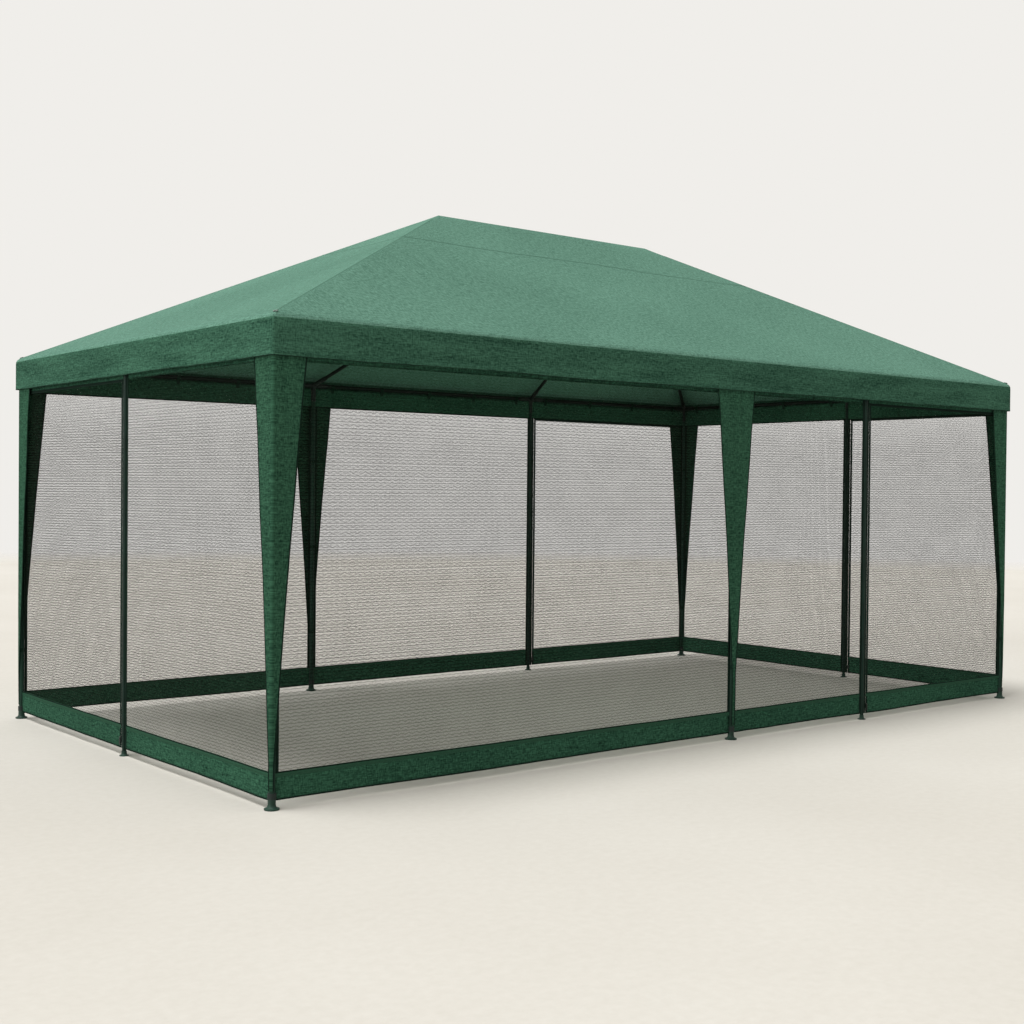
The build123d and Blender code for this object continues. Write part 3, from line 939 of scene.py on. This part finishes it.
def build_canopy():
    """The canopy as one sewn sheet, with its seams."""
    rows, seam_row = canopy_rows()
    columns = canopy_columns()
    points = [[canopy_point(column, row) for column in columns] for row in rows]
    canopy = sew_canopy(points)
    seams = canopy_seams(points, columns, seam_row)
    for piece in (*seams, canopy):
        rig.slot(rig.ride(piece, FRAME), "canopy_cloth")
    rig.replaces(canopy, "canopy")
    flat, area = canopy_flat_size()
    rests = ["ridge_connectors", "corner_connectors", "side_connectors"]
    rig.sheet(canopy, flat=flat, held="stretched", rests_on=rests, area=area, with_pieces=seams)


build_canopy()


# -------- leg covers

COVER_OUT = 0.0190
COVER_BEND = 0.010
FOOT_BEND = 0.016
COVER_FLARE = 0.022
CORNER_TAPER = (0.22, 0.003)
SIDE_TAPER = (0.38, 0.0165)
COVER_ROWS = 72
WING_COLUMNS = 12
BEND_COLUMNS = 4
CORNER_COVER_COLUMNS = 2 * WING_COLUMNS + BEND_COLUMNS
PIPING_STEPS = 48
cover_low, cover_high = box("leg_cover_front_middle")
COVER_TOP = cover_high.z
COVER_BOTTOM = cover_low.z
SIDE_COVER_HALF = (cover_high.x - cover_low.x) / 2
CORNER_COVER = box("leg_cover_front_left")[1].x - legs["front_left"].x


def cover_width(taper, top, z):
    """Reach of a cover from its leg's axis at a height.

    taper is the height where the cover starts to widen, and its reach below that.
    """
    start, foot = taper
    share = max(0.0, (z - start) / (COVER_TOP - start))
    flare = COVER_FLARE * max(0.0, (share - 0.3) / 0.7) ** 1.5
    return foot + (top - foot) * share + flare


def cover_area(taper, top):
    """Cloth in the two halves of a cover, each from the leg's axis to its free edge."""
    steps = 60
    height = (COVER_TOP - COVER_BOTTOM) / steps
    heights = [COVER_BOTTOM + height * (k + 0.5) for k in range(steps)]
    return sum(2 * cover_width(taper, top, z) * height for z in heights)


def cover_bend(z):
    """Radius of the fold of a corner cover: it wraps round the tube at its foot."""
    wrapped = max(0.0, 1 - (z - COVER_BOTTOM) / 0.55)
    return COVER_BEND + (FOOT_BEND - COVER_BEND) * math.sqrt(wrapped)


def cover_out(z):
    """Distance of the cover from the leg's axis: it draws in to the tube at its foot."""
    drawn_in = max(0.0, 1 - (z - COVER_BOTTOM) / 0.30)
    return COVER_OUT - 0.0028 * drawn_in**2


def cover_billow(distance, z, seed):
    """How far the cloth stands off its plane: still at the leg, loose at its free edge."""
    looseness = max(0.0, distance) / 0.17
    wave = 0.006 * ripple(z, 0.55, seed) + 0.003 * ripple(z, 0.16, seed + 2.0)
    return looseness * (wave - 0.004)


def cover_piping(name, tag, place, a, inward):
    """Dark piping down one free edge of a cover, at share a across it."""
    path = [place(a, b / PIPING_STEPS)[0] + inward * (PIPING / 2) for b in range(PIPING_STEPS + 1)]
    return ribbon(f"{name}_cover_piping_{tag}", path, inward, PIPING, COVER_PIPING_THICK, edge_tape)


def corner_point(leg, a, b):
    """Point and flat coordinates of a corner cover: wing, fold round the leg, other wing."""
    inward_x = Vector((-math.copysign(1, leg.x), 0, 0))
    inward_y = Vector((0, -math.copysign(1, leg.y), 0))
    seed = leg.x + 2.0 * leg.y
    z = COVER_BOTTOM + (COVER_TOP - COVER_BOTTOM) * b
    cloth_out = cover_out(z)
    bend = cover_bend(z)
    centre = bend - cloth_out
    width = cover_width(CORNER_TAPER, CORNER_COVER, z) - centre
    k = round(a * CORNER_COVER_COLUMNS)
    last_wing = CORNER_COVER_COLUMNS - WING_COLUMNS
    if k < WING_COLUMNS or k > last_wing:
        first = k < WING_COLUMNS
        steps = WING_COLUMNS - k if first else k - last_wing
        distance = width * steps / WING_COLUMNS
        along, out = (inward_y, inward_x) if first else (inward_x, inward_y)
        offset = cloth_out + cover_billow(distance, z, seed + (0 if first else 5))
        point = along * (centre + distance) - out * offset
        run = -distance if first else distance
    else:
        angle = (k - WING_COLUMNS) / BEND_COLUMNS * math.pi / 2
        point = inward_x * (centre - bend * math.cos(angle))
        point += inward_y * (centre - bend * math.sin(angle))
        run = 0.0
    return Vector((leg.x, leg.y, z)) + point, (run, z)


def corner_cover(name):
    """L-shaped cover: two tapering wings round the outside of a corner leg."""

    def place(a, b):
        return corner_point(legs[name], a, b)

    cover = grid(f"{name}_cover", CORNER_COVER_COLUMNS, COVER_ROWS, place, cover_cloth)
    edges = []
    for tag, a in (("side", 0.0), ("end", 1.0)):
        lean = place(0.5, 0.5)[0] - place(a, 0.5)[0]
        lean.z = 0
        edges.append(cover_piping(name, tag, place, a, lean.normalized()))
    flat = (2 * (CORNER_COVER + COVER_OUT), COVER_TOP - COVER_BOTTOM)
    area = cover_area(CORNER_TAPER, CORNER_COVER) + 2 * COVER_OUT * flat[1]
    declare_cover(cover, name, flat, area, edges)


def side_cover(name):
    """Flat tapering cover outside a middle leg, creased where it hangs from its tab."""
    leg = legs[name]
    side = sides["front" if leg.y < 0 else "back"]
    seed = 3.0 * leg.x

    def place(a, b):
        z = COVER_BOTTOM + (COVER_TOP - COVER_BOTTOM) * b
        across = (2 * a - 1) * cover_width(SIDE_TAPER, SIDE_COVER_HALF, z)
        offset = cover_out(z) + cover_billow(abs(across), z, seed + (0 if a < 0.5 else 5))
        crease = math.exp(-(((across - 0.016) / 0.006) ** 2)) * max(0.0, (z - 1.70) / 0.4)
        offset += 0.006 * crease
        return side.point(leg.x + across, offset, z), (across, z)

    cover = grid(f"{name}_cover", 32, COVER_ROWS, place, cover_cloth)
    edges = []
    for tag, a in (("left", 0.0), ("right", 1.0)):
        inward = side.along_axis * (1 if a == 0.0 else -1)
        edges.append(cover_piping(name, tag, place, a, inward))
    flat = (2 * SIDE_COVER_HALF, COVER_TOP - COVER_BOTTOM)
    declare_cover(cover, name, flat, cover_area(SIDE_TAPER, SIDE_COVER_HALF), edges)


def declare_cover(cover, name, flat, area, edges):
    thicken(cover, COVER_CLOTH)
    for piece in (cover, *edges):
        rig.slot(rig.ride(piece, FRAME), "cover_cloth")
    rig.replaces(cover, f"leg_cover_{name}")
    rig.sheet(cover, flat=flat, held="hung", rests_on=[f"leg_{name}"], area=area, with_pieces=edges)


for leg_name in LEG_NAMES:
    if leg_name.endswith("middle"):
        side_cover(leg_name)
    else:
        corner_cover(leg_name)


# -------- walls and doors

COLUMN_PITCH = 0.024
NET_ROWS = 48
SKIRT_ROWS = 8
HEADER_ROWS = 10
UPRIGHT_STEPS = 40


def wall_wave(side, along, z, start, end):
    """How far a wall stands off its plane: still at its posts, and looser towards the ground."""
    held = min(1.0, 14 * (along - start) * (end - along) / (end - start))
    loose = 0.25 + 0.75 * (WALL_TOP - z) / (WALL_TOP - WALL_BOTTOM)
    wave = 0.009 * ripple(along, 0.60, side.seed) + 0.004 * ripple(along, 0.17, side.seed + z)
    return held * loose * wave


class Bay:
    """Stretch of wall between two posts, from start to end along a side."""

    def __init__(self, name, side, start, end, carry):
        self.name = name
        self.side = side
        self.start = min(start, end)
        self.end = max(start, end)
        self.carry = carry
        self.columns = max(24, round((self.end - self.start) / COLUMN_PITCH))

    def point(self, along, z, out=0.0):
        wave = wall_wave(self.side, along, z, self.start, self.end)
        return self.side.point(along, out + wave, z)

    def hem_wave(self, along):
        """Rise and fall of the hem near the ground, in -1 to 1."""
        return ripple(along, 0.8, self.side.seed + 4.0)

    def band(self, part, low, high, rows, material, out=0.0, sway=0.0):
        """Sheet between two heights. sway lets its lower edge rise and fall."""

        def place(a, b):
            along = self.start + (self.end - self.start) * a
            z = low + (high - low) * b
            z += sway * (1 - b) * self.hem_wave(along)
            return self.point(along, z, out), (along, z)

        return grid(f"{self.name}_{part}", self.columns, rows, place, material)

    def level_tape(self, part, z, width, thickness, material, out=0.0, sway=0.0):
        """Hem or binding along the bay at one height."""
        path = []
        for k in range(self.columns + 1):
            along = self.start + (self.end - self.start) * k / self.columns
            height = z + sway * self.hem_wave(along)
            path.append(self.point(along, height, out))
        return ribbon(f"{self.name}_{part}", path, UP, width, thickness, material)

    def upright_tape(self, part, along, low, high, width, thickness, material):
        heights = [low + (high - low) * k / UPRIGHT_STEPS for k in range(UPRIGHT_STEPS + 1)]
        path = [self.point(along, z) for z in heights]
        return ribbon(f"{self.name}_{part}", path, self.side.along_axis, width, thickness, material)


def declare_band(piece, bay, low, high, rests, pieces=()):
    """Declares a hung sheet that is flat as long as its bay and as tall as given."""
    flat = (bay.end - bay.start, high - low)
    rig.sheet(piece, flat=flat, held="hung", rests_on=rests, with_pieces=list(pieces))


def sew_net(bay, top):
    """Net of a bay and the hemmed skirt below it: the net, the skirt and its hems."""
    net = bay.band("net", NET_BOTTOM, top, NET_ROWS, net_cloth)
    skirt = bay.band("skirt", WALL_BOTTOM, SKIRT_TOP, SKIRT_ROWS, band_cloth, sway=HEM_SWAY)
    thicken(skirt, BAND_CLOTH)
    ground = WALL_BOTTOM + PIPING / 2
    hems = [
        bay.level_tape("skirt_hem", SKIRT_TOP - SKIRT_HEM / 2, SKIRT_HEM, HEM_THICK, band_hem),
        bay.level_tape("skirt_piping", SKIRT_TOP - PIPING / 2, PIPING, PIPING_THICK, edge_tape),
        bay.level_tape("ground_piping", ground, PIPING, PIPING_THICK, edge_tape, sway=HEM_SWAY),
    ]
    return net, skirt, hems


def hang_net(bay, net, skirt, hems, sewn, slot, replaced, top, rests):
    """Carries and declares a net and its skirt. sewn lists the tapes sewn to the net."""
    for piece in (net, skirt, *hems, *sewn):
        bay.carry(piece)
        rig.slot(piece, slot)
    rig.replaces(net, replaced)
    declare_band(net, bay, NET_BOTTOM, top, rests, sewn)
    declare_band(skirt, bay, WALL_BOTTOM, SKIRT_TOP, [net], hems)


def hang_header(bay, rail, inside=HEADER_INSIDE):
    """Header band of a bay, its binding and the loops that hold it to the rail.

    inside is how far the band lies inside the wall's plane, with the binding on its inner face.
    """
    low = HEADER_BOTTOM - HEADER_LAP
    header = bay.band("header", low, WALL_TOP, HEADER_ROWS, band_cloth, out=-inside)
    thicken(header, BAND_CLOTH)
    middle_z = low + PIPING / 2
    behind = -inside - BINDING_INSIDE
    binding = bay.level_tape("header_binding", middle_z, PIPING, BINDING_THICK, edge_tape, out=behind)
    loops = rail_loops(bay)
    for piece in (header, binding, *loops):
        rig.slot(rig.ride(piece, FRAME), "wall_mesh")
    declare_band(header, bay, low, WALL_TOP, rail, [binding, *loops])


def rail_loops(bay):
    """Webbing loops over the eave rail, sewn to both faces of the header."""
    span = bay.end - bay.start - 2 * LOOP_MARGIN
    count = max(1, round(span / LOOP_PITCH))
    radius = RAIL_RADIUS + STRAP_THICK
    loops = []
    for k in range(count + 1):
        along = bay.start + LOOP_MARGIN + span * k / count
        section = [(-0.0022, WALL_TOP - LOOP_TAIL), (-0.0026, WALL_TOP - LOOP_NECK)]
        for step in range(13):
            angle = math.radians(-130 + 260 * step / 12)
            section.append((radius * math.sin(angle), RAIL_Z + radius * math.cos(angle)))
        section += [(0.0026, WALL_TOP - LOOP_NECK), (0.0022, WALL_TOP - LOOP_TAIL)]
        path = [bay.side.point(along, out, z) for out, z in section]
        name = f"{bay.name}_loop_{k}"
        loops.append(ribbon(name, path, bay.side.along_axis, STRAP_WIDTH, STRAP_THICK, webbing))
    return loops


def on_frame(piece):
    """Carries a piece of a fixed bay."""
    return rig.ride(piece, FRAME)


def on_door(name, side, fold, into):
    """Carries a piece of a leaf: it turns with the door and bends softly at the sewn line."""
    start = side.point(fold + into * FOLD_REACH, 0, 1)
    end = side.point(fold - into * FOLD_REACH, 0, 1)

    def carry(piece):
        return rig.blend(piece, FRAME, f"{name}_door", start=start, end=end)

    return carry


def zip_teeth(name, side, edge, toward, phase, body):
    """One row of zip teeth up the free edge of a door."""
    count = int((DOOR_TOP - WALL_BOTTOM - 2 * TOOTH_MARGIN) / TOOTH_PITCH)
    along, out, tall = (size / 2 for size in TOOTH)
    half = (along, out, tall) if side.along_x else (out, along, tall)
    blocks = []
    for k in range(count):
        z = WALL_BOTTOM + TOOTH_MARGIN + (k + phase) * TOOTH_PITCH
        blocks.append((side.point(edge + toward * along * 0.9, 0, z), half))
    teeth = boxes(name, blocks, tooth_plastic)
    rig.slot(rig.ride(teeth, body), "zip_slider")


def bind_upright(bay, part, along, low, width=TAPE, thickness=EDGE_TAPE_THICK):
    """Upright tape that stays with the frame, up to the top of the wall."""
    tape = bay.upright_tape(part, along, low, WALL_TOP, width, thickness, edge_tape)
    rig.slot(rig.ride(tape, FRAME), "wall_mesh")


def fixed_bay(name, side, start, end, foot_of_end, rails, replaced):
    """Net wall between two posts, with a binding along each upright edge.

    foot_of_end is the height where the binding at its end starts.
    """
    bay = Bay(name, side, start, end, on_frame)
    top = HEADER_BOTTOM + NET_TUCK
    net, skirt, hems = sew_net(bay, top)
    hang_net(bay, net, skirt, hems, [], "wall_mesh", replaced, top, rails)
    hang_header(bay, rails)
    inset = math.copysign(TAPE / 2, end - start)
    bind_upright(bay, "edge_a", start + inset, NET_BOTTOM)
    bind_upright(bay, "edge_b", end - inset, foot_of_end)


def door_surround(name, side, start, leaf_edge, end, rails):
    """What stays when a door opens: the header, half of the zip and the binding at the corner leg."""
    bay = Bay(f"{name}_door_bay", side, start, end, on_frame)
    hang_header(bay, rails, inside=DOOR_HEADER_INSIDE)
    into = math.copysign(1, end - start)
    tape_end = leaf_edge - into * ZIP_GAP
    tape_middle = (start + tape_end) / 2
    bind_upright(bay, "zip_tape", tape_middle, WALL_BOTTOM, abs(tape_end - start), ZIP_TAPE_THICK)
    bind_upright(bay, "jamb_edge", end - into * TAPE / 2, SKIRT_TOP)


def door_leaf(name, side, edge, fold, end):
    """Net and skirt that swing from the fold beside the corner leg, with their half of the zip."""
    into = math.copysign(1, end - edge)
    bay = Bay(f"{name}_leaf", side, edge, end, on_door(name, side, fold, into))
    top = DOOR_TOP + LEAF_LAP
    net, skirt, hems = sew_net(bay, top)
    binding = bay.level_tape("top_binding", top - PIPING, 2 * PIPING, 0.0020, edge_tape)
    along = edge + into * TAPE / 2
    tape = bay.upright_tape("zip_tape", along, WALL_BOTTOM, top, TAPE, ZIP_TAPE_THICK, edge_tape)
    header = [f"{name}_door_bay_header"]
    hang_net(bay, net, skirt, hems, [binding, tape], "door_mesh", f"{name}_door", top, header)
    zip_teeth(f"{name}_zip_teeth_fixed", side, edge - into * ZIP_GAP, into, 0.0, FRAME)
    zip_teeth(f"{name}_zip_teeth_door", side, edge, -into, 0.5, f"{name}_door")


def build_wall(name):
    """One side: its fixed bays from the plain corner on, then the door bay."""
    side = sides[name]
    low = side.along(legs["front_left"])
    high = side.along(legs["back_right"])
    pole = side.along(poles[name])
    leaf = tuple(side.along(corner) for corner in box(f"{name}_door"))
    into = 1 if sum(leaf) / 2 > pole else -1
    first_post, corner = (low, high) if into > 0 else (high, low)
    edge, fold = leaf if into > 0 else leaf[::-1]
    posts = [first_post]
    rails = [f"eave_rail_{name}"]
    walls = [f"{name}_wall"]
    if side.along_x:
        posts.append(side.along(legs[f"{name}_middle"]))
        rails = [f"eave_rail_{name}_{half}" for half in ("left", "right")]
        walls = [f"{name}_wall_{half}" for half in ("left", "right")]
    ends = [(post - into * LEG_EDGE, NET_BOTTOM) for post in posts[1:]]
    ends.append((pole - into * POLE_EDGE, WALL_BOTTOM))
    for k, (post, (end, foot), wall) in enumerate(zip(posts, ends, walls)):
        start = post + into * LEG_EDGE
        fixed_bay(f"{name}_bay_{k + 1}", side, start, end, foot, rails[:1], wall)
    jamb = corner - into * LEG_EDGE
    door_surround(name, side, pole + into * POLE_EDGE, edge, jamb, rails[-1:])
    door_leaf(name, side, edge, fold, jamb)


for side_name in sides:
    build_wall(side_name)


# -------- straps round the legs


def leg_straps():
    """Hook-and-loop straps that hold the covers and the wall edges to each leg."""
    radius = LEG_RADIUS + STRAP_THICK / 2 + STRAP_SLACK
    for name, leg in legs.items():
        for k, z in enumerate(STRAP_HEIGHTS):
            path = []
            for step in range(24):
                angle = 2 * math.pi * step / 24
                around = Vector((math.cos(angle), math.sin(angle), 0)) * radius
                path.append(Vector((leg.x, leg.y, z)) + around)
            part = f"{name}_strap_{k}"
            strap = ribbon(part, path, UP, STRAP_WIDTH, STRAP_THICK, webbing, closed=True)
            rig.slot(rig.ride(strap, FRAME), "cover_cloth")


leg_straps()


# -------- studio


def studio():
    """Pale floor that fades into an even backdrop."""
    mesh = bpy.data.meshes.new("studio_floor")
    edit = bmesh.new()
    bmesh.ops.create_circle(edit, cap_ends=True, segments=96, radius=STUDIO_RADIUS)
    edit.to_mesh(mesh)
    edit.free()
    mesh.materials.append(studio_floor())
    floor = bpy.data.objects.new("studio_floor", mesh)
    bpy.context.collection.objects.link(floor)
    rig.stage(floor)

    world = bpy.data.worlds.new("studio")
    world.use_nodes = True
    world.node_tree.nodes["Background"].inputs[0].default_value = BACKDROP
    world.node_tree.nodes["Background"].inputs[1].default_value = 1.0
    bpy.context.scene.world = world


def far_light(name, energy, spread, turn):
    """Soft light from far away. spread is its apparent size in degrees."""
    light = bpy.data.lights.new(name, "SUN")
    light.energy = energy
    light.angle = math.radians(spread)
    holder = bpy.data.objects.new(name, light)
    holder.rotation_euler = turn
    bpy.context.collection.objects.link(holder)


def inner_light(name, size, energy, color, height, turn):
    """Broad unseen light inside the shelter. It shines down, or up when turned over."""
    light = bpy.data.lights.new(name, "AREA")
    light.shape = "RECTANGLE"
    light.size = size[0]
    light.size_y = size[1]
    light.energy = energy
    light.color = color
    holder = bpy.data.objects.new(name, light)
    holder.location = (0, 0, height)
    holder.rotation_euler = (turn, 0, 0)
    holder.visible_camera = False
    bpy.context.collection.objects.link(holder)


def lights():
    """High light, low fill from the left, and the daylight that soaks through the roof cloth."""
    far_light("high_light", 2.6, 24, HIGH_LIGHT_TURN)
    far_light("left_fill", 2.05, 40, FILL_DIRECTION.to_track_quat("-Z", "Y").to_euler())
    glow = (0.94, 1.0, 0.88)
    inner_light("roof_glow", (4.2, 1.2), energy=22.0, color=glow, height=EAVE_Z + 0.35, turn=0.0)
    lining = (0.35, 1.0, 0.66)
    inner_light("lining_glow", (5.0, 2.4), energy=11.0, color=lining, height=1.0, turn=math.pi)


def camera():
    """Camera at the front left corner, low and nearly level."""
    heading = Vector((math.sin(CAMERA_HEADING), math.cos(CAMERA_HEADING), 0))
    forward = heading * math.cos(CAMERA_DIP) - UP * math.sin(CAMERA_DIP)
    right = forward.cross(UP).normalized()
    top = right.cross(forward)
    cosine, sine = math.cos(CAMERA_ROLL), math.sin(CAMERA_ROLL)
    rolled_right = right * cosine + top * sine
    rolled_top = top * cosine - right * sine
    turn = Matrix((rolled_right, rolled_top, -forward)).transposed()
    lens = bpy.data.cameras.new("camera")
    lens.lens = CAMERA_LENS
    lens.sensor_width = 36.0
    eye = bpy.data.objects.new("camera", lens)
    eye.matrix_world = Matrix.Translation(CAMERA_PLACE) @ turn.to_4x4()
    bpy.context.collection.objects.link(eye)
    bpy.context.scene.camera = eye


studio()
lights()
camera()
bpy.context.scene.view_settings.view_transform = "Standard"

visual_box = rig.bounds()
sizes = {"cad": [list(corner) for corner in cad_box], "visual": [list(corner) for corner in visual_box]}
with open("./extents.json", "w") as size_file:
    json.dump(sizes, size_file)
